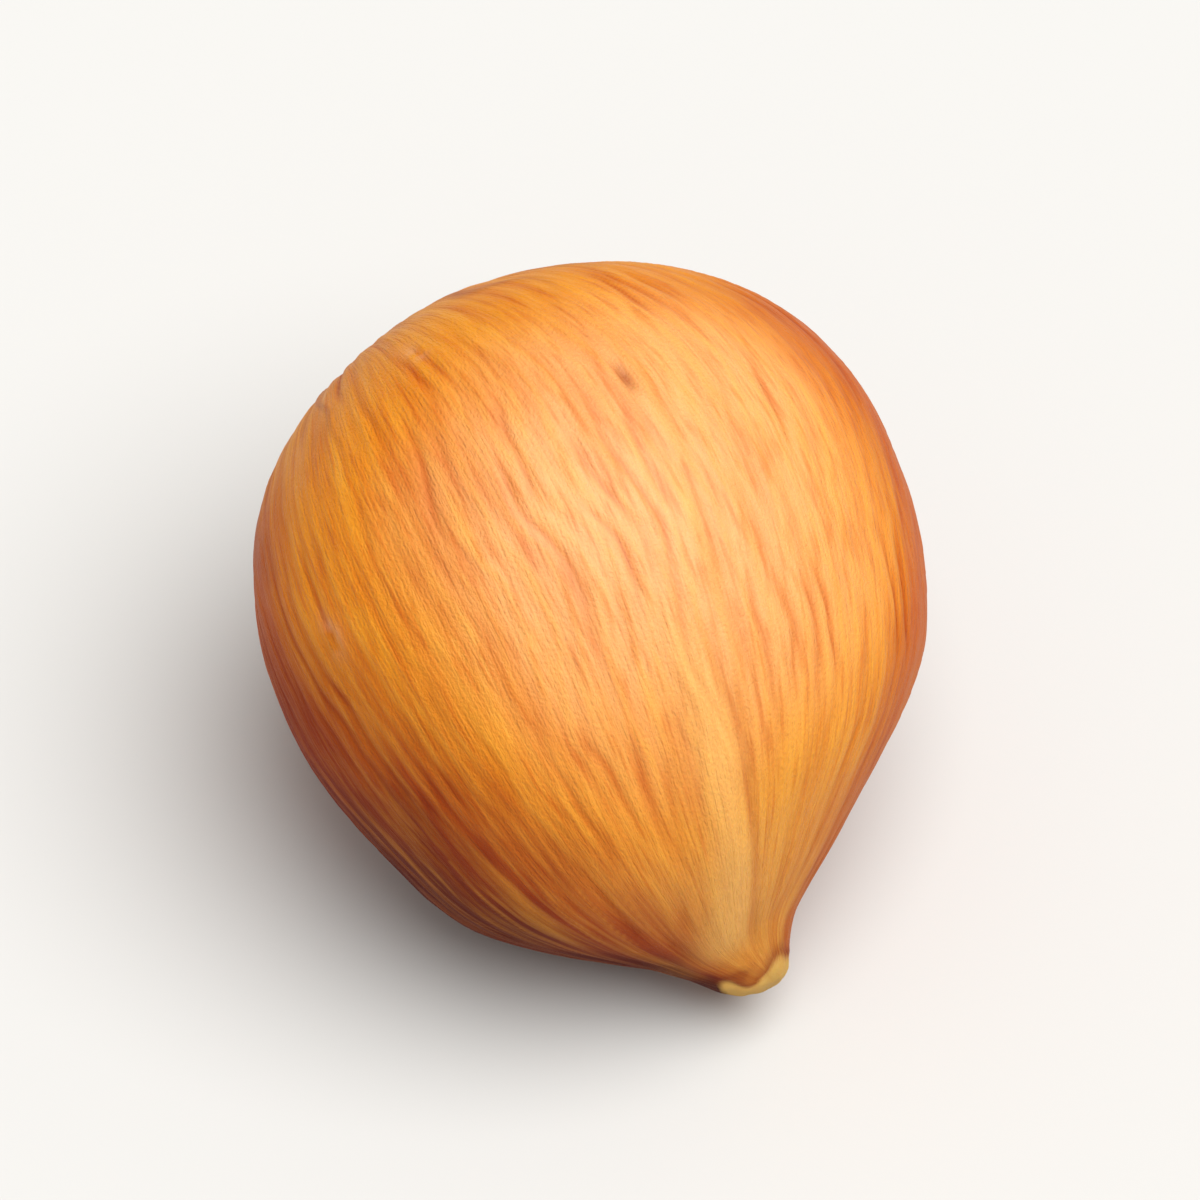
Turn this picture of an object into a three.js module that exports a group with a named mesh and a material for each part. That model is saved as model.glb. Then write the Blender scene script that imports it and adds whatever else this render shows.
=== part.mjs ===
// A shelled hazelnut: the kernel in its thin brown skin, lying on its side on a small flat spot.
// Millimetres, +Z up. The origin is the centre of the flat spot. The tip points to -Y and downwards.
import * as THREE from "three";
import { mergeVertices } from "three/addons/utils/BufferGeometryUtils.js";

// Half of the nut's outline, from the middle of the blunt base to the end of the tip. "Along" is measured
// on the nut's own axis, from its widest section towards the tip. "Heading" is the way the outline runs,
// in degrees: 0 is straight out from the axis, 90 is straight towards the tip, 180 is straight back in.
// "Before" and "after" are how far the curve keeps to that heading on either side of the knot.
const BASE = { radius: 0, along: -6.6, heading: 0, after: 4.06 };
const BELLY = { radius: 7.0, along: 0, heading: 90, before: 3.8, after: 4.15 };
const NECK = { radius: 1.9, along: 7.95, heading: 147, before: 3.35, after: 0.45 };
const TIP_SIDE = { radius: 0.88, along: 9.02, heading: 124, before: 0.4, after: 0.3 };
const TIP_END = { radius: 0, along: 9.45, heading: 180, before: 0.48 };

const THICKNESS_SHARE = 0.95; // a kernel is a little thinner than it is wide
const LOBES = { count: 3, share: 0.012, turn: 0.7 }; // soft corners of the cross-section; turn in radians
const FULL_SHOULDER = { shift: 0.44, along: 6.3, spread: 1.7 }; // the -X shoulder is fuller than the other
const TIP_LEAN = { shift: 0.5, from: 6.6 }; // the tip leans back towards +X

const TIP_DROP = THREE.MathUtils.degToRad(36); // how far the lying nut's axis slopes down to the tip
const FLAT_DEPTH = 0.28; // how much of the round belly the flat spot takes away

const SEGMENTS_AROUND = 64;
const ROWS = { dome: 13, shoulder: 15, neck: 6, tip: 4 };

// The curve from one knot to the next, leaving and arriving on the knots' headings.
function stretch(start, end, rows) {
  const place = (knot, reach) => {
    const heading = THREE.MathUtils.degToRad(knot.heading);
    return new THREE.Vector2(
      Math.max(knot.radius + reach * Math.cos(heading), 0),
      knot.along + reach * Math.sin(heading),
    );
  };
  const curve = new THREE.CubicBezierCurve(
    place(start, 0),
    place(start, start.after),
    place(end, -end.before),
    place(end, 0),
  );
  return curve.getPoints(rows);
}

// The outline turned round the axis, as one closed mesh of shared vertices.
function turnedBody() {
  const outline = [
    ...stretch(BASE, BELLY, ROWS.dome),
    ...stretch(BELLY, NECK, ROWS.shoulder).slice(1),
    ...stretch(NECK, TIP_SIDE, ROWS.neck).slice(1),
    ...stretch(TIP_SIDE, TIP_END, ROWS.tip).slice(1),
  ];
  const turned = new THREE.LatheGeometry(outline, SEGMENTS_AROUND);
  turned.deleteAttribute("normal");
  turned.deleteAttribute("uv");
  return mergeVertices(turned);
}

// How far the nut's middle strays sideways at a place along the axis.
function strayAt(along) {
  const near = (along - FULL_SHOULDER.along) / FULL_SHOULDER.spread;
  const past = Math.max(along - TIP_LEAN.from, 0) / (TIP_END.along - TIP_LEAN.from);
  return TIP_LEAN.shift * past * past - FULL_SHOULDER.shift * Math.exp(-near * near);
}

// What makes it grown and not turned: soft corners, a thinner way, a fuller shoulder and a leaning tip.
function growUneven(geometry) {
  const places = geometry.getAttribute("position");
  for (let i = 0; i < places.count; i++) {
    const around = Math.atan2(places.getZ(i), places.getX(i));
    const corner = 1 + LOBES.share * Math.cos(LOBES.count * around + LOBES.turn);
    places.setX(i, places.getX(i) * corner + strayAt(places.getY(i)));
    places.setZ(i, places.getZ(i) * corner * THICKNESS_SHARE);
  }
  return geometry;
}

// Lays the nut down with its tip to -Y, and lets the surface it lies on press the lowest spot flat.
function layOnFlatSpot(geometry) {
  geometry.rotateX(Math.PI + TIP_DROP);
  geometry.computeBoundingBox();
  geometry.translate(0, 0, -geometry.boundingBox.min.z - FLAT_DEPTH);
  const places = geometry.getAttribute("position");
  const flat = new THREE.Box2();
  for (let i = 0; i < places.count; i++) {
    if (places.getZ(i) > 0) continue;
    places.setZ(i, 0);
    flat.expandByPoint(new THREE.Vector2(places.getX(i), places.getY(i)));
  }
  const middle = flat.getCenter(new THREE.Vector2());
  return geometry.translate(-middle.x, -middle.y, 0);
}

function hazelnutKernel() {
  const skin = new THREE.MeshStandardMaterial({ color: 0xc9803c, roughness: 0.5, metalness: 0 });
  const kernel = new THREE.Mesh(layOnFlatSpot(growUneven(turnedBody())), skin);
  kernel.name = "hazelnut_kernel";
  return kernel;
}

const hazelnut = new THREE.Group();
hazelnut.add(hazelnutKernel());

export default hazelnut;
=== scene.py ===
# %% [markdown]
# # A shelled hazelnut in its skin
# A hazelnut kernel is one seed: a round body, a blunt base with a corky scar where the seed was fed, and
# a short tip. A thin, papery brown skin covers it, and it dries into fine wrinkles that run lengthwise.
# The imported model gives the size, the place and the small flat spot that the nut lies on. This script
# keeps all of that, and makes the surface: the wrinkles, the fold, the scar, the bead at the tip and
# the colours of the skin.

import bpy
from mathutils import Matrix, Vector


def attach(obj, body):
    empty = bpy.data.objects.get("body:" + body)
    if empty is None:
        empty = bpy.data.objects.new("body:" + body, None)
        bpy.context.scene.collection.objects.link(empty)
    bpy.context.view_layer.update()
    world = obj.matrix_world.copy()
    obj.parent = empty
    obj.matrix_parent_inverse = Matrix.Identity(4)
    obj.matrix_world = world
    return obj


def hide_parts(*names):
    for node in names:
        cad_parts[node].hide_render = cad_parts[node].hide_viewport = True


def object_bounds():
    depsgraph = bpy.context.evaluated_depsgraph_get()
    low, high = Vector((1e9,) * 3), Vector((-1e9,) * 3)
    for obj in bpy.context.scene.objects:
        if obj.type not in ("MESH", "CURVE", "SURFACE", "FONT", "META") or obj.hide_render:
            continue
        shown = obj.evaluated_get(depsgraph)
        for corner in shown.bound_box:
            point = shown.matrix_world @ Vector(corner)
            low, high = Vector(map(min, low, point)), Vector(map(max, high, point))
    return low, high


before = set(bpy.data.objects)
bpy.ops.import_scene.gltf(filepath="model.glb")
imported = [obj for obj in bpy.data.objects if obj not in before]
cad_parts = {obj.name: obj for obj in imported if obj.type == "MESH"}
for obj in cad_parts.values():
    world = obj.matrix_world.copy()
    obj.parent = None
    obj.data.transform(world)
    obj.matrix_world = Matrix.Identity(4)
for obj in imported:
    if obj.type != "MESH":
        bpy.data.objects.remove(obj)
cad_low, cad_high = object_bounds()
print("frame from", tuple(cad_low), "to", tuple(cad_high))

# %% [markdown]
# ## The nut's own directions
# Everything on a nut is placed by its axis, from the base to the tip, so the axis is measured first. The
# end of the tip is the point that lies furthest from the middle of the box, and the base lies furthest
# from the tip. Two more directions stand square to the axis: one towards the side of the nut that faces
# the viewer, and one towards the viewer's right. Sizes are in millimetres and turned to metres once.

# %% Measure the axis
import math

import bmesh
import bpy
import numpy as np
from mathutils import Vector, noise
from mathutils.bvhtree import BVHTree

MM = 0.001
VIEW_AZIMUTH, VIEW_ELEVATION = math.radians(-26), math.radians(53)
BELLY_SHARE = 0.411  # how far along from base to tip the nut is widest


def towards(azimuth, elevation):
    """The direction from the nut to someone who looks at it from this azimuth and elevation."""
    level = math.cos(elevation)
    return Vector((math.sin(azimuth) * level, -math.cos(azimuth) * level, math.sin(elevation)))


cad_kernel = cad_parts["hazelnut_kernel"]
cad_points = [v.co.copy() for v in cad_kernel.data.vertices]
box_middle = (cad_low + cad_high) / 2
tip_end = max(cad_points, key=lambda p: (p - box_middle).length)
base_end = max(cad_points, key=lambda p: (p - tip_end).length)
nut_length = (tip_end - base_end).length
axis = (tip_end - base_end) / nut_length
belly = base_end + axis * nut_length * BELLY_SHARE

viewer = towards(VIEW_AZIMUTH, VIEW_ELEVATION)
facing = (viewer - axis * viewer.dot(axis)).normalized()
right = facing.cross(axis).normalized()
print("length", round(nut_length / MM, 2), "mm, axis", tuple(round(a, 3) for a in axis))

# %% [markdown]
# ## The camera
# A long lens from a quarter of a metre away sees the nut almost without perspective, which keeps its
# outline true and the tip no larger than it is. The camera is made early.

# %% Place the camera
LENS, SENSOR = 380, 36  # both in mm
NUT_SHARE = 0.64  # of the picture's height

camera_data = bpy.data.cameras.new("long_lens")
camera_data.lens, camera_data.sensor_width = LENS, SENSOR
camera = bpy.data.objects.new("camera", camera_data)
bpy.context.scene.collection.objects.link(camera)
distance = nut_length / NUT_SHARE * LENS / SENSOR
camera.location = box_middle + viewer * distance
camera.rotation_mode = "QUATERNION"
camera.rotation_quaternion = (-viewer).to_track_quat("-Z", "Y")
bpy.context.scene.camera = camera
print("camera", round(distance, 3), "m away")

# %% [markdown]
# ## A smooth copy of the frame
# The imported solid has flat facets, like a cut stone, and a nut has none. Its triangles are joined back
# into four-sided faces, because subdivision rounds those evenly and leaves ripples on triangles. The copy
# is only something to measure from, and it is deleted once the skin lies on it.

# %% Round off the facets
ROUNDING_LEVELS = 3
SAME_POINT = 0.0001 * MM
FLAT_ENOUGH, SQUARE_ENOUGH = math.radians(30), math.radians(60)  # for two triangles to become one face

pattern_mesh = cad_kernel.data.copy()
shaping = bmesh.new()
shaping.from_mesh(pattern_mesh)
bmesh.ops.remove_doubles(shaping, verts=shaping.verts, dist=SAME_POINT)
bmesh.ops.join_triangles(
    shaping,
    faces=shaping.faces[:],
    angle_face_threshold=FLAT_ENOUGH,
    angle_shape_threshold=SQUARE_ENOUGH,
)
shaping.to_mesh(pattern_mesh)
shaping.free()

pattern = bpy.data.objects.new("smooth_pattern", pattern_mesh)
bpy.context.scene.collection.objects.link(pattern)
rounding = pattern.modifiers.new("round off the facets", "SUBSURF")
rounding.levels = ROUNDING_LEVELS
smooth_nut = BVHTree.FromObject(pattern, bpy.context.evaluated_depsgraph_get())
print("pattern has", len(pattern_mesh.polygons), "faces before rounding")

# %% [markdown]
# ## A ball of quads
# A ball turned on an axis has a pinched pole at each end, just where a nut has its scar and its tip. A
# cube that is cut into a fine grid and blown up into a ball has no poles, and its faces stay nearly
# square, which takes fine sculpting well. The grid is drawn closer around the tip, where the shape is
# smallest.

# %% Cut the cube and blow it up
CUTS = 127
TIP_CROWDING, TIP_SPREAD = 0.55, 0.5  # how much closer the grid gets, and over what angle in radians

ball = bmesh.new()
bmesh.ops.create_cube(ball, size=2)
bmesh.ops.subdivide_edges(ball, edges=ball.edges[:], cuts=CUTS, use_grid_fill=True)
cube_points = np.array([v.co for v in ball.verts])
evened = np.tan(cube_points * math.pi / 4)
rays = evened / np.linalg.norm(evened, axis=1, keepdims=True)

from_pole = np.arccos(np.clip(rays[:, 2], -1, 1))
drawn_in = from_pole * (1 - TIP_CROWDING * np.exp(-((from_pole / TIP_SPREAD) ** 2)))
flat_part = rays[:, :2] / np.maximum(np.linalg.norm(rays[:, :2], axis=1, keepdims=True), 1e-9)
rays = np.column_stack([flat_part * np.sin(drawn_in)[:, None], np.cos(drawn_in)])
rays = rays @ np.array([right, facing, axis])
print("ball of", len(ball.faces), "quads")

# %% [markdown]
# ## Lay the ball on the smooth copy
# From the widest part of the nut, a ray goes out through each point of the ball, and the point moves to
# where the ray leaves the smooth copy. A shrinkwrap modifier does nearly the same, but it moves points to
# the nearest place, which starves the tip.

# %% Cast the points on to the nut
landed = [smooth_nut.ray_cast(belly, Vector(ray))[0] for ray in rays]
for vert, place in zip(ball.verts, landed):
    vert.co = place
all_ways = {"use_axis_x": True, "use_axis_y": True, "use_axis_z": True}
bmesh.ops.smooth_vert(ball, verts=ball.verts, factor=0.5, **all_ways)
skin_mesh = bpy.data.meshes.new("hazelnut_skin")
ball.to_mesh(skin_mesh)
ball.free()


def read_vectors(source, what):
    """A mesh's vertex positions or normals as an array with one row each."""
    flat = np.zeros(len(source) * 3)
    source.foreach_get(what, flat)
    return flat.reshape(-1, 3)


skin_mesh.update()
points = read_vectors(skin_mesh.vertices, "co")
normals = read_vectors(skin_mesh.vertex_normals, "vector")
print("skin spans", np.round(np.ptp(points, axis=0) / MM, 2), "mm")

# %% [markdown]
# ## Where things are on the nut
# The wrinkles of the skin run from the scar to the tip, and on this nut the scar sits low at the back, off
# the axis. So each point gets a second set of directions: how far along the line from scar to tip it is,
# its distance from that line, and the angle round it. Lines of equal angle are then the paths that the
# wrinkles follow. The line itself bends to the left before it reaches the tip, because the wrinkles do.

# %% Find the scar and measure every point from it
SCAR_SIDEWAYS, SCAR_DOWN = math.radians(-11), math.radians(39)  # from straight opposite the tip
THREAD_BEND, BEND_LATENESS = 2.2, 8  # mm to the viewer's left, and how close to the tip it comes back


def on_skin(along_mm, turn_degrees):
    """The skin this far towards the tip from the belly, turned this much from the viewer's side."""
    turn = math.radians(turn_degrees)
    outwards = facing * math.cos(turn) + right * math.sin(turn)
    return smooth_nut.ray_cast(belly + axis * along_mm * MM, outwards)[0]


lowered = Vector((0, -axis.z, axis.y)).normalized()
if lowered.z > 0:
    lowered = -lowered
scar_tilt = math.hypot(SCAR_SIDEWAYS, SCAR_DOWN)
scar_way = (Vector((1, 0, 0)) * SCAR_SIDEWAYS + lowered * SCAR_DOWN) / scar_tilt
scar_ray = -axis * math.cos(scar_tilt) + scar_way * math.sin(scar_tilt)
scar = smooth_nut.ray_cast(belly, scar_ray)[0]

thread_length = (tip_end - scar).length
thread = (tip_end - scar) / thread_length
thread_up = (facing - thread * facing.dot(thread)).normalized()
thread_right = thread_up.cross(thread)


def measure(places):
    """For each place: mm along from the scar, mm out from the bent line to the tip, angle round it."""
    offsets = (np.atleast_2d(places) - np.array(scar)) / MM
    along = offsets @ np.array(thread)
    share = np.clip(along / (thread_length / MM), 0, 1)
    bend = THREAD_BEND * share * (1 - share**BEND_LATENESS)
    outward = offsets - np.outer(along, np.array(thread)) + np.outer(bend, np.array(right))
    angle = np.arctan2(outward @ np.array(thread_right), outward @ np.array(thread_up))
    return along, np.linalg.norm(outward, axis=1), angle


along, reach, angle = measure(points)
from_tip = (np.array(tip_end) - points) @ np.array(axis) / MM
from_scar = np.linalg.norm(points - np.array(scar), axis=1) / MM
print("scar at", tuple(round(c / MM, 1) for c in scar), "mm")

# %% [markdown]
# ## Noise that follows the skin
# All the unevenness comes from two kinds of noise. One is even in all directions, for dents and crumbs. The
# other is drawn out along the nut, for welts and veins: it has a set number of lines round the nut, and a
# length for each. Both are worked out from the place and a seed alone, so they are the same at every run. A
# seed is only a number that gives each feature its own piece of the noise.

# %% Two noises
SEED_STEP = 17.3  # how far apart in the noise two seeds lie


def lumps(size_mm, seed):
    """Even noise from about -1 to 1, with lumps this far across."""
    scaled = points / (size_mm * MM) + seed * SEED_STEP
    return np.array([noise.noise(Vector(p)) for p in scaled])


def strands(count, length_mm, seed, sway=0.0):
    """Noise from about -1 to 1 in strands that run from scar to tip, so many round the nut."""
    turned = angle + sway
    ring = count / (2 * math.pi)
    scaled = np.column_stack([np.cos(turned) * ring, np.sin(turned) * ring, along / length_mm])
    return np.array([noise.noise(Vector(p)) for p in scaled + seed * SEED_STEP])


def ramp(values, start, end):
    """0 below start and 1 above end, with a soft curve between; start may be the larger one."""
    share = np.clip((values - start) / (end - start), 0, 1)
    return share * share * (3 - 2 * share)


# %% [markdown]
# ## Wrinkles
# The dried skin lies in fine furrows a little over half a millimetre apart, nearly parallel, each of which
# fades in and out along its way. So the nut is divided round into as many lanes as there are furrows, each
# lane holds one furrow, and noise that is drawn for that lane alone bends it and changes its strength. As
# the nut narrows towards its ends, fewer lanes have room, so a few sets, each with half the lanes of the
# one before, take over from each other.

# %% Furrow the skin
FURROW_SPACING, FURROW_WIDTH = 0.60, 0.085  # mm between furrows, and half the width of one
BEND_LENGTH, BREAK_LENGTH = 3.4, 2.8  # mm along a furrow between bends, and between its fainter stretches
LANE_STRAY = 0.42  # how far a furrow strays from the middle of its lane, as a share of the lane
LANE_STEP = 5.17  # how far apart in the noise two lanes lie
HALVINGS = 4
WIDEST_REACH = float(reach.max())
lanes_round = round(2 * math.pi * WIDEST_REACH / FURROW_SPACING)


def lane_noise(lane, length_mm, seed):
    """Noise from about -1 to 1 along each lane, with nothing in common between one lane and the next."""
    scaled = np.column_stack([lane * LANE_STEP, along / length_mm, np.full(len(lane), seed * SEED_STEP)])
    return np.array([noise.noise(Vector(p)) for p in scaled])


sway = 0.055 * lumps(3.2, 1) + 0.014 * lumps(1.0, 2)
presence = 0.35 + 0.65 * ramp(lumps(2.8, 9), -0.3, 0.3)
furrow = np.zeros(len(points))
strip = np.zeros(len(points))
for halving in range(HALVINGS):
    lanes = max(lanes_round // 2**halving, 1)
    octave = np.log2(np.maximum(reach, 0.05) / (WIDEST_REACH / 2**halving))
    in_range = ramp(octave, -1.05, -0.45) * (1 if halving == 0 else ramp(octave, 0.55, -0.05))
    turns = (angle + sway) / (2 * math.pi) * lanes
    lane = np.floor(turns) % lanes
    across = turns % 1 - 0.5 - LANE_STRAY * lane_noise(lane, BEND_LENGTH, 3 + halving)
    off_line = across * 2 * math.pi * reach / lanes
    strength = ramp(lane_noise(lane, BREAK_LENGTH, 13 + halving), -0.28, 0.3)
    furrow = np.maximum(furrow, in_range * strength * np.exp(-((off_line / FURROW_WIDTH) ** 2)))
    strip = np.maximum(strip, in_range * ramp(np.abs(across), 0.22, 0.5) * ramp(strength, 1.2, 0.2))
furrow *= presence
print("furrows, mean", round(float(furrow.mean()), 3), "lanes round", lanes_round)

# %% [markdown]
# ## The fold, the nick and the scuffs
# One long fold runs down to the tip: a low ridge with a sharper valley on its right. It is drawn in the
# same directions as the wrinkles, so it keeps its line over the curve of the nut. A small nick lies high
# on the same side. Of four small pale scuffs, two lie on the side that is seen, and two on the hidden
# sides, where they are a guess.

# %% Draw the fold, the nick and the scuffs
FOLD_START, FOLD_START_TURN = 1.4, 18  # mm towards the tip from the belly, degrees from the viewer's side
FOLD_END, FOLD_END_TURN = 7.4, 12
FOLD_WIDTH = 0.5  # mm
RIDGE_ASIDE, VALLEY_ASIDE = -0.42, 0.10  # mm from the fold's line, and the viewer's right counts as more
VALLEY_WIDTH = 0.3 * FOLD_WIDTH
NICK = (-3.7, 31, 0.13, 0.36)  # mm towards the tip, degrees round, mm wide and mm long, as for the scuffs
SCUFFS = ((-1.5, -49, 0.24, 0.42), (-5.9, -16, 0.20, 0.26), (2.6, 118, 0.3, 0.5), (-2.4, 201, 0.26, 0.4))

start_along, _, start_angle = measure(on_skin(FOLD_START, FOLD_START_TURN))
end_along, _, end_angle = measure(on_skin(FOLD_END, FOLD_END_TURN))
down_fold = (along - start_along[0]) / (end_along[0] - start_along[0])
fold_angle = start_angle[0] + (end_angle[0] - start_angle[0]) * np.clip(down_fold, -0.5, 1.2)
beside_fold = (angle - fold_angle + 0.012 * lumps(1.8, 12)) * reach
fold_fade = ramp(down_fold, -0.3, 0.25) * ramp(from_tip, 0.8, 1.6)
fold_fade *= ramp(np.abs(angle - fold_angle), 1.5, 0.8)
fold_ridge = np.exp(-(((beside_fold - RIDGE_ASIDE) / FOLD_WIDTH) ** 2)) * fold_fade
fold_valley = np.exp(-(((beside_fold - VALLEY_ASIDE) / VALLEY_WIDTH) ** 2)) * fold_fade


def patch_at(along_mm, turn_degrees, wide_mm, long_mm):
    """A soft patch round a place on the skin: 1 at its middle, and gone a few of these sizes away."""
    place = on_skin(along_mm, turn_degrees)
    place_along, _, place_angle = measure(place)
    across = (angle - place_angle[0]) * reach / wide_mm
    down = (along - place_along[0]) / long_mm
    close = np.linalg.norm(points - np.array(place), axis=1) < 4 * long_mm * MM  # not its far side
    return np.where(close, np.exp(-(across**2) - down**2), 0)


nick = patch_at(*NICK)
scuff = sum(patch_at(*place_and_size) for place_and_size in SCUFFS)
scuff *= ramp(lumps(0.35, 14), -0.5, 0.2)
print("fold from", round(math.degrees(start_angle[0])), "to", round(math.degrees(end_angle[0])), "degrees")

# %% [markdown]
# ## The bead at the tip and the scar at the base
# The skin stops short of the very tip and leaves a small pale bead of bare root tip. At the base it stops
# at the scar, a round patch of cork. Both edges are torn and not ruled, so noise moves them in and out. The
# cork is rough and nearly flat in its middle, and breaks into small pale crumbs towards its edge, with dark
# gaps between them. A few flakes of it are left on the skin outside the edge.

# %% Mark the bead and the scar
BEAD_LENGTH, SCAR_RADIUS, LIP_WIDTH = 0.46, 2.2, 0.2  # mm

bead_edge = from_tip + 0.35 * lumps(0.5, 20) - BEAD_LENGTH
bead = ramp(bead_edge, 0.1, -0.1)
bead_lip = np.exp(-(((bead_edge - 0.12) / 0.14) ** 2))
scar_edge = from_scar + 0.7 * lumps(2.2, 21) + 0.6 * lumps(0.7, 22) - SCAR_RADIUS
crumb_cloud = lumps(0.42, 55)
left_flakes = ramp(crumb_cloud, 0.22, 0.42) * ramp(scar_edge, 1.0, 0.3)
cork = np.maximum(ramp(scar_edge, 0.2, -0.12), left_flakes)
near_edge = np.exp(-(((scar_edge + 0.3) / 0.6) ** 2))
crumb = cork * ramp(crumb_cloud, 0.02, 0.35) * (0.3 + 0.7 * near_edge)
cork_pit = cork * ramp(crumb_cloud, -0.08, -0.36) * (0.45 + 0.55 * near_edge)
cork_grain = 0.05 * lumps(0.9, 51) + 0.035 * lumps(0.26, 52)
cork_grain += 0.05 * strands(26, 0.9, 54) * ramp(from_scar, 0.4, 1.3)
scar_lip = np.exp(-(((scar_edge - 0.2) / LIP_WIDTH) ** 2))
vein_line = ramp(np.abs(strands(15, 9.0, 30, 0.18 * lumps(2.6, 31))), 0.09, 0.0)
vein = vein_line * ramp(from_scar, SCAR_RADIUS * 0.8, SCAR_RADIUS * 1.5) * ramp(from_scar, 9.0, 4.5)
print("bead share", round(float(bead.mean()), 4), "cork share", round(float(cork.mean()), 3))

# %% [markdown]
# ## Darker and paler sides
# The skin isn't one colour all round: the left flank is a deep red-brown and the crown is paler. Both are
# partly painted light: some of the crown's paleness is a painted highlight, and some of the flank's depth
# is painted shade and a painted reflection of the brown nuts beside it. The flank's rim, where the skin
# turns under, is darkest, as painted shade, and a rim low on the viewer's right is darkened as painted
# shade too. The far side is a guess: a browner version of the side that is seen. Each region is where the
# skin faces a chosen way, with noise on its border.

# %% Shade the sides
flank_way = np.array((axis * 0.58 - right * 0.8 + facing * 0.16).normalized())
crown_way = np.array((facing - axis * 0.2 + right * 0.33).normalized())
low_right_way = np.array(right * 0.8 + axis * 0.6)
flank_turn = normals @ flank_way + 0.06 * lumps(3.0, 60) + 0.03 * lumps(1.2, 62)
# The flank's deep tone is partly painted shade and a painted reflection of the brown nuts beside it; its rim
# is painted shade where the skin turns under.
flank_tone_and_painted_shade = ramp(flank_turn, 0.50, 0.88)
flank_rim_painted_shade = ramp(flank_turn, 0.78, 0.97)
# The crown's paleness is partly a painted highlight.
crown_tone_and_painted_highlight = ramp(normals @ crown_way + 0.06 * lumps(2.4, 61), 0.58, 0.99)
away_turn = normals @ np.array(facing) + 0.07 * lumps(2.2, 63)
far_side_and_right_rim_shade = ramp(away_turn, 0.56, 0.16) * ramp(normals @ np.array(axis), -0.85, -0.45)
# The lower right rim of the seen side is darkened here as painted shade.
far_side_and_right_rim_shade = np.maximum(far_side_and_right_rim_shade, ramp(normals @ low_right_way + 0.03 * lumps(1.6, 64), 0.80, 0.94))
tipward = ramp(from_tip, 7.5, 1.8)
# The furrows are darkened in colour, partly as darker skin and partly as painted shade in their valleys.
furrow_stain_and_shade = furrow**1.3 * (1 - 0.45 * crown_tone_and_painted_highlight) * (1 - 0.35 * tipward)
print("flank share", round(float(flank_tone_and_painted_shade.mean()), 3), "crown share", round(float(crown_tone_and_painted_highlight.mean()), 3))

# %% [markdown]
# ## All the marks in one place
# Every feature is now an array with one number for each point: 1 where the feature is full and 0 where
# there is none. Here they get the names by which the heights and the material ask for them.

# %% Collect the marks
marks = {
    "furrow": furrow,
    "furrow_stain_and_shade": furrow_stain_and_shade,
    "strip": strip,
    "fold_ridge": fold_ridge,
    "fold_valley": fold_valley,
    "nick": nick,
    "scuff": np.clip(scuff, 0, 1),
    "bead": bead,
    "bead_lip": bead_lip,
    "cork": cork,
    "cork_pit": cork_pit,
    "crumb": crumb,
    "scar_lip": scar_lip,
    "vein": vein,
    "tipward": tipward,
    "flank_tone_and_painted_shade": flank_tone_and_painted_shade,
    "flank_rim_painted_shade": flank_rim_painted_shade,
    "far_side_and_right_rim_shade": far_side_and_right_rim_shade,
    "crown_tone_and_painted_highlight": crown_tone_and_painted_highlight,
}
print(len(marks), "marks")

# %% [markdown]
# ## Raise and lower the skin
# Each feature has a height in millimetres, and their sum moves every point along its own normal. Wide, low
# dents and long, low welts come first, because a dried kernel is nowhere quite smooth. The flat spot that
# the nut lies on stays flat, and nothing goes below it.

# %% Sum the heights
DENTS = ((5.0, 0.10), (2.1, 0.035), (0.6, 0.012))  # mm across and mm high
WELTS_ROUND, WELT_LENGTH, WELT_HEIGHT = 17, 5.0, 0.05  # how many round the nut, and mm
HEIGHTS = {  # mm out of the skin, or into it
    "furrow": -0.048,
    "strip": 0.014,
    "vein": 0.025,
    "fold_ridge": 0.09,
    "fold_valley": -0.038,
    "nick": -0.110,
    "scuff": -0.012,
    "bead": -0.03,
    "cork": -0.03,
    "crumb": 0.12,
    "cork_pit": -0.05,
}
BEAD_LUMP, BEAD_LUMP_HEIGHT = 0.28, 0.05  # mm
FLAT_TOP, FLAT_FADE = 0.02, 0.35  # mm above the floor, where relief begins and where it is full

height = sum(mm * lumps(across, 40 + place) for place, (across, mm) in enumerate(DENTS))
height += WELT_HEIGHT * strands(WELTS_ROUND, WELT_LENGTH, 43, sway) * ramp(reach, 0.5, 3.0)
height += sum(mm * marks[name] for name, mm in HEIGHTS.items())
height += bead * BEAD_LUMP_HEIGHT * lumps(BEAD_LUMP, 50) + cork * cork_grain
height *= ramp(points[:, 2] / MM, FLAT_TOP, FLAT_FADE)

raised = points + normals * (height * MM)[:, None]
raised[:, 2] = np.maximum(raised[:, 2], 0)
skin_mesh.vertices.foreach_set("co", raised.ravel())
print("heights from", round(float(height.min()), 3), "to", round(float(height.max()), 3), "mm")

# %% [markdown]
# ## Pass the marks on to the material
# The material needs to know where the furrows, the cork and the bead are, and which way the skin runs.
# Those go on the mesh as attributes, one number for each point, which the shader reads by name. The
# colour pattern then sits exactly in the modelled furrows.

# %% Store the marks on the mesh
for name, values in marks.items():
    numbers = skin_mesh.attributes.new(name, "FLOAT", "POINT").data
    numbers.foreach_set("value", values.astype(np.float32))

round_nut = np.column_stack([np.cos(angle) * WIDEST_REACH, np.sin(angle) * WIDEST_REACH, along])
running = skin_mesh.attributes.new("running", "FLOAT_VECTOR", "POINT").data
running.foreach_set("vector", round_nut.astype(np.float32).ravel())
skin_mesh.polygons.foreach_set("use_smooth", [True] * len(skin_mesh.polygons))
skin_mesh.update()

kernel = bpy.data.objects.new("hazelnut_skin", skin_mesh)
bpy.context.scene.collection.objects.link(kernel)
bpy.data.objects.remove(pattern)
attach(kernel, "root")
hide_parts("hazelnut_kernel")
print("skin of", len(skin_mesh.polygons), "faces with", len(marks), "marks")

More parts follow.
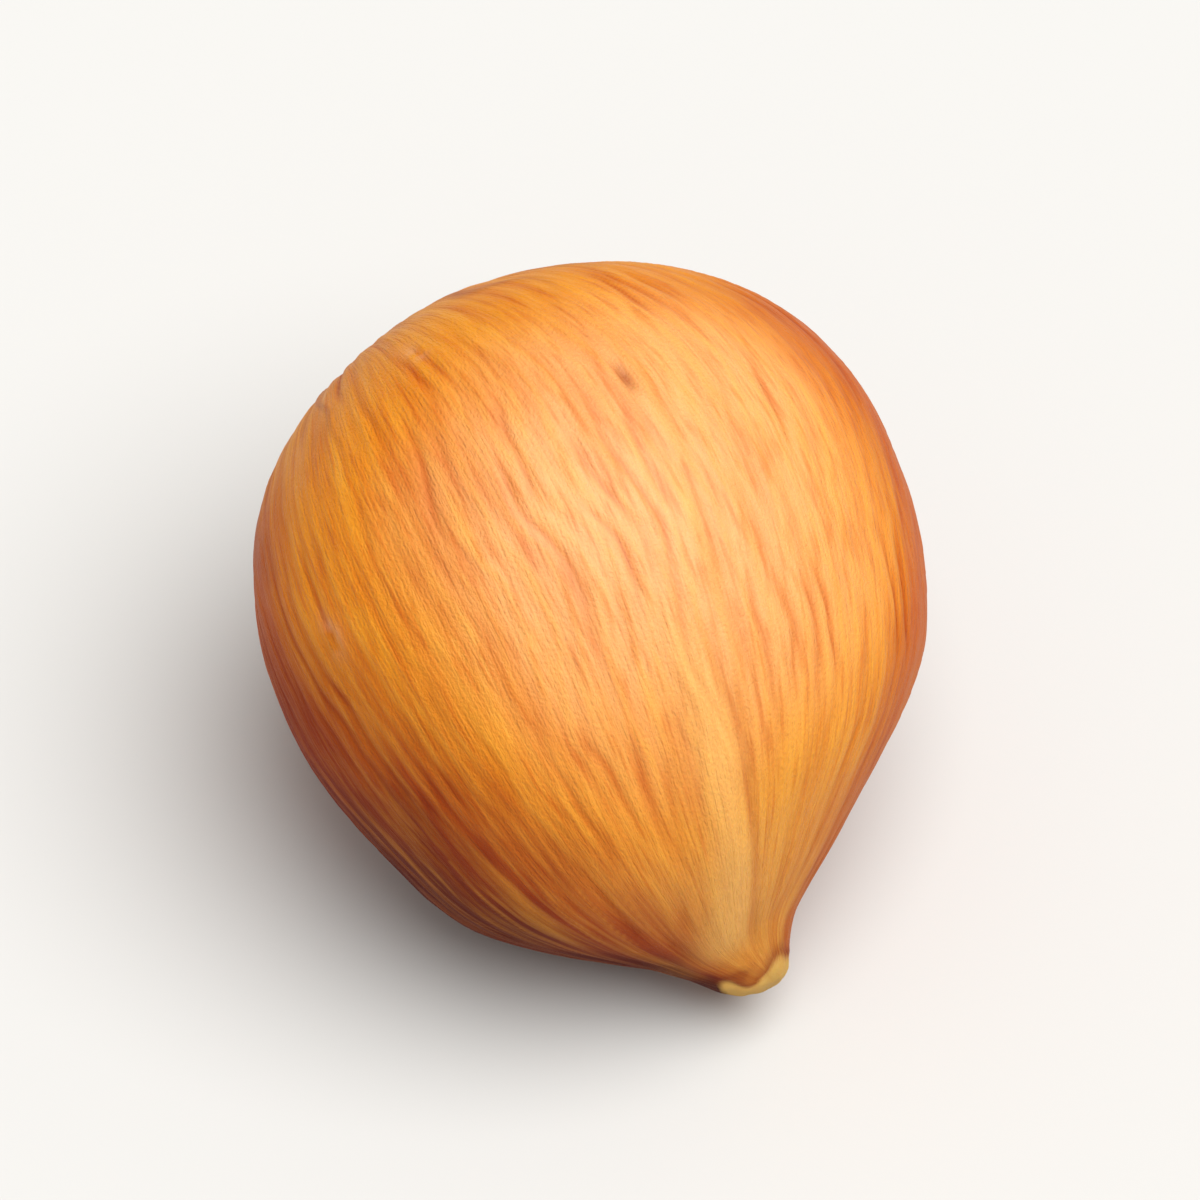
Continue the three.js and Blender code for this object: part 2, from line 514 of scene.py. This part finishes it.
# %% [markdown]
# ## Helpers for the material
# Colours are given as sRGB hex values, as a paint chart gives them, and one function turns them into the
# linear values that a shader needs. Another adds a node, fills in its settings and joins its inputs.

# %% Node helpers
def linear(hex_colour):
    """An sRGB hex colour as linear red, green, blue and alpha."""
    channels = [int(hex_colour[i : i + 2], 16) / 255 for i in (1, 3, 5)]
    return [c / 12.92 if c <= 0.04045 else ((c + 0.055) / 1.055) ** 2.4 for c in channels] + [1]


def add(tree, kind, inputs=(), **settings):
    """Adds a node with its settings; an input is a value, or another node's output to link from."""
    node = tree.nodes.new(kind)
    for name, value in settings.items():
        setattr(node, name, value)
    for name, value in dict(inputs).items():
        if isinstance(value, bpy.types.NodeSocket):
            tree.links.new(value, node.inputs[name])
        else:
            node.inputs[name].default_value = value
    return node


# %% [markdown]
# ## The skin's material
# The skin of a hazelnut is a dried seed coat, which shrank on to the kernel: thin, fibrous and a little
# oily. What that gives the eye is warm brown paper with a soft, wide shine and no sharp reflection. The
# material first reads the marks, and the running directions, which wrap a sheet of fibres round the nut.

# %% Start the skin material
skin = bpy.data.materials.new("seed_coat_dried")
skin.use_nodes = True
tree = skin.node_tree
tree.nodes.clear()

where = {}
for name in marks:
    where[name] = add(tree, "ShaderNodeAttribute", attribute_name=name).outputs["Fac"]
runs = add(tree, "ShaderNodeAttribute", attribute_name="running").outputs["Vector"]
print("material reads", len(where), "marks")

# %% [markdown]
# ### Fibres
# Between the furrows the coat is a felt of fibres, too fine for the mesh. Each pattern is noise drawn out
# along the nut, given as its width and its length in millimetres, and where it starts to show and is full.
# The finest are drawn about twice as coarse as real ones, so that they show.

# %% Lay the fibres
FIBRES = {
    "wander": (5.5, 5.5, 0.36, 0.66),
    "wide_fibres": (0.34, 1.6, 0.46, 0.70),
    "streaks": (0.8, 4.0, 0.55, 0.35),
    "narrow_fibres": (0.17, 1.1, 0.50, 0.30),
    "hair_fibres": (0.09, 0.7, 0.35, 0.65),
    "paper_grain": (0.07, 0.07, 0.3, 0.7),
}
FIBRE_DETAIL = 2  # how many finer noises are laid over each

for name, (width, length, clear, full) in FIBRES.items():
    stretch = (1 / width, 1 / width, 1 / length)
    laid = add(tree, "ShaderNodeVectorMath", {0: runs, 1: stretch}, operation="MULTIPLY")
    noise_sockets = {"Vector": laid.outputs[0], "Scale": 1, "Detail": FIBRE_DETAIL}
    cloud = add(tree, "ShaderNodeTexNoise", noise_sockets)
    shaped = add(tree, "ShaderNodeMapRange", {"Value": cloud.outputs[0], "From Min": clear, "From Max": full})
    where[name] = shaped.outputs["Result"]
print("material has", len(tree.nodes), "nodes with the fibres")

# %% [markdown]
# ### Colours
# The ground is a warm amber. Everything else goes over it in order, as glazes do: each layer has a place,
# a strength and a colour. A mixed layer covers what is under it, and a multiplied one darkens it, so that a
# furrow is darker than its surroundings on the pale crown and on the deep flank alike. That darkening is
# partly darker skin and partly painted shade, and the layers for the crown, the flank, the far side and
# the fold are partly painted light as well.

# %% Colour the skin
AMBER = linear("#e6931e")
LAYERS = (  # the mark or fibre, how strong it is, how it goes on, and its colour
    ("wander", 0.8, "MIX", "#e18717"),
    # This layer is partly a painted highlight on the crown.
    ("crown_tone_and_painted_highlight", 0.57, "MIX", "#f2b784"),
    ("tipward", 0.65, "MIX", "#dc9a48"),
    # These two layers are partly painted shade and a painted reflection on the flank, and painted shade at
    # its rim.
    ("flank_tone_and_painted_shade", 0.95, "MIX", "#9e3701"),
    ("flank_rim_painted_shade", 0.8, "MIX", "#521802"),
    ("wide_fibres", 0.22, "MIX", "#f4ae3c"),
    ("streaks", 0.4, "MULTIPLY", "#e6b98c"),
    ("strip", 0.2, "MIX", "#f4ae3c"),
    ("narrow_fibres", 0.6, "MULTIPLY", "#e6be8e"),
    ("hair_fibres", 0.2, "MULTIPLY", "#ecd2ac"),
    # This layer browns the far side, a guess at its tone, and is painted shade on the low right rim.
    ("far_side_and_right_rim_shade", 0.75, "MULTIPLY", "#c98040"),
    # This layer is partly painted shade in the furrows.
    ("furrow_stain_and_shade", 1.0, "MULTIPLY", "#d8a468"),
    ("vein", 0.6, "MIX", "#a04a1c"),
    # The fold's pale ridge is partly a painted highlight, and its darker valley is partly painted shade.
    ("fold_ridge", 0.5, "MIX", "#f2bc68"),
    ("fold_valley", 0.4, "MULTIPLY", "#c98a50"),
    ("nick", 0.7, "MULTIPLY", "#a0522c"),
    ("scuff", 0.4, "MIX", "#e6ae8a"),
    ("scar_lip", 0.35, "MULTIPLY", "#b0703c"),
    ("cork", 0.9, "MIX", "#c48a4a"),
    ("cork_pit", 0.8, "MIX", "#70401a"),
    ("crumb", 0.8, "MIX", "#e6b06a"),
    ("bead_lip", 0.75, "MULTIPLY", "#b0743c"),
    ("bead", 1.0, "MIX", "#e8b45c"),
)
coloured = AMBER
for name, strength, how, hex_colour in LAYERS:
    share = add(tree, "ShaderNodeMath", {0: where[name], 1: strength}, operation="MULTIPLY")
    # sockets 0, 6 and 7 of a colour mix are its share, the colour under and the colour over
    sockets = {0: share.outputs[0], 6: coloured, 7: linear(hex_colour)}
    layer = add(tree, "ShaderNodeMix", sockets, data_type="RGBA", blend_type=how)
    coloured = layer.outputs[2]
print("colour has", len(LAYERS), "layers")

# %% [markdown]
# ### Shine and fine relief
# The skin's shine is broad: a roughness near one half. The furrows and the dry flank are duller, and cork
# is duller still. A thin coat on the crown alone makes the pale highlight there wider. Relief too fine for
# the mesh, the hairs of the papery skin, is a bump of two hundredths of a millimetre, which gives the eye a
# silky grain along the nut.

# %% Shine and bump
ROUGHNESS, FIBRE_ROUGHNESS = 0.52, 0.44
DULLER = {"furrow": 0.12, "flank_tone_and_painted_shade": 0.2, "cork": 0.3}
CROWN_COAT = 0.5
HAIR_STRENGTH, HAIR_HEIGHT = 0.8, 0.020  # the height in mm

between = {"Value": where["wide_fibres"], "To Min": ROUGHNESS, "To Max": FIBRE_ROUGHNESS}
roughness = add(tree, "ShaderNodeMapRange", between).outputs["Result"]
for name, extra in DULLER.items():
    duller = {0: where[name], 1: extra, 2: roughness}
    roughness = add(tree, "ShaderNodeMath", duller, operation="MULTIPLY_ADD").outputs[0]

coat = add(tree, "ShaderNodeMath", {0: where["crown_tone_and_painted_highlight"], 1: CROWN_COAT}, operation="MULTIPLY")

hairs = {0: where["hair_fibres"], 1: where["paper_grain"]}
fine_relief = add(tree, "ShaderNodeMath", hairs, operation="ADD")
relief = {"Height": fine_relief.outputs[0], "Strength": HAIR_STRENGTH, "Distance": HAIR_HEIGHT * MM}
bump = add(tree, "ShaderNodeBump", relief)

surface = add(
    tree,
    "ShaderNodeBsdfPrincipled",
    {
        "Base Color": coloured,
        "Roughness": roughness,
        "Normal": bump.outputs["Normal"],
        "IOR": 1.5,
        "Specular IOR Level": 0.15,
        "Coat Weight": coat.outputs[0],
        "Coat Roughness": 0.45,
        "Coat IOR": 1.5,
        "Subsurface Weight": 0.12,
        "Subsurface Radius": (0.8 * MM, 0.28 * MM, 0.08 * MM),
        "Subsurface Scale": 1.0,
    },
)
add(tree, "ShaderNodeOutputMaterial", {"Surface": surface.outputs["BSDF"]})
skin_mesh.materials.append(skin)
print("skin material has", len(tree.nodes), "nodes")

# %% [markdown]
# ## Floor and light
# The nut lies on a plain sheet of uncoated paper. Its surface is pressed fibre, which gives the eye an even
# pale ground with a soft shadow and no reflection. The light is a wide soft lamp above and a pale room all
# round, as in a light tent. A sun lamp with a wide disc gives the soft edge of a big softbox without its
# fall-off, so the floor stays even.

# %% Floor
FLOOR_HALF = 2.0  # m
PAPER_ROUGHNESS = 0.9

floor_mesh = bpy.data.meshes.new("floor")
corners = [(x * FLOOR_HALF, y * FLOOR_HALF, 0) for x, y in ((-1, -1), (1, -1), (1, 1), (-1, 1))]
floor_mesh.from_pydata(corners, [], [(0, 1, 2, 3)])
floor = bpy.data.objects.new("floor", floor_mesh)
bpy.context.scene.collection.objects.link(floor)

paper = bpy.data.materials.new("paper_pressed_uncoated")
paper.use_nodes = True
paper_surface = paper.node_tree.nodes["Principled BSDF"]
paper_surface.inputs["Base Color"].default_value = linear("#cfcecb")
paper_surface.inputs["Roughness"].default_value = PAPER_ROUGHNESS
floor_mesh.materials.append(paper)
print("floor", 2 * FLOOR_HALF, "m square")

# %% Lights
KEY_AZIMUTH, KEY_ELEVATION = math.radians(33), math.radians(70)
KEY_STRENGTH, KEY_SPREAD = 3.6, math.radians(55)
ROOM_STRENGTH = 0.46

key_data = bpy.data.lights.new("softbox", "SUN")
key_data.energy, key_data.angle = KEY_STRENGTH, KEY_SPREAD
key = bpy.data.objects.new("softbox", key_data)
key.rotation_mode = "QUATERNION"
key.rotation_quaternion = towards(KEY_AZIMUTH, KEY_ELEVATION).to_track_quat("Z", "Y")
bpy.context.scene.collection.objects.link(key)

room = bpy.data.worlds.new("light_tent")
room.use_nodes = True
background = room.node_tree.nodes["Background"]
background.inputs["Color"].default_value = linear("#fbfaf8")
background.inputs["Strength"].default_value = ROOM_STRENGTH
bpy.context.scene.world = room
bpy.context.scene.view_settings.view_transform = "Standard"
print("softbox", KEY_STRENGTH, "room", ROOM_STRENGTH)
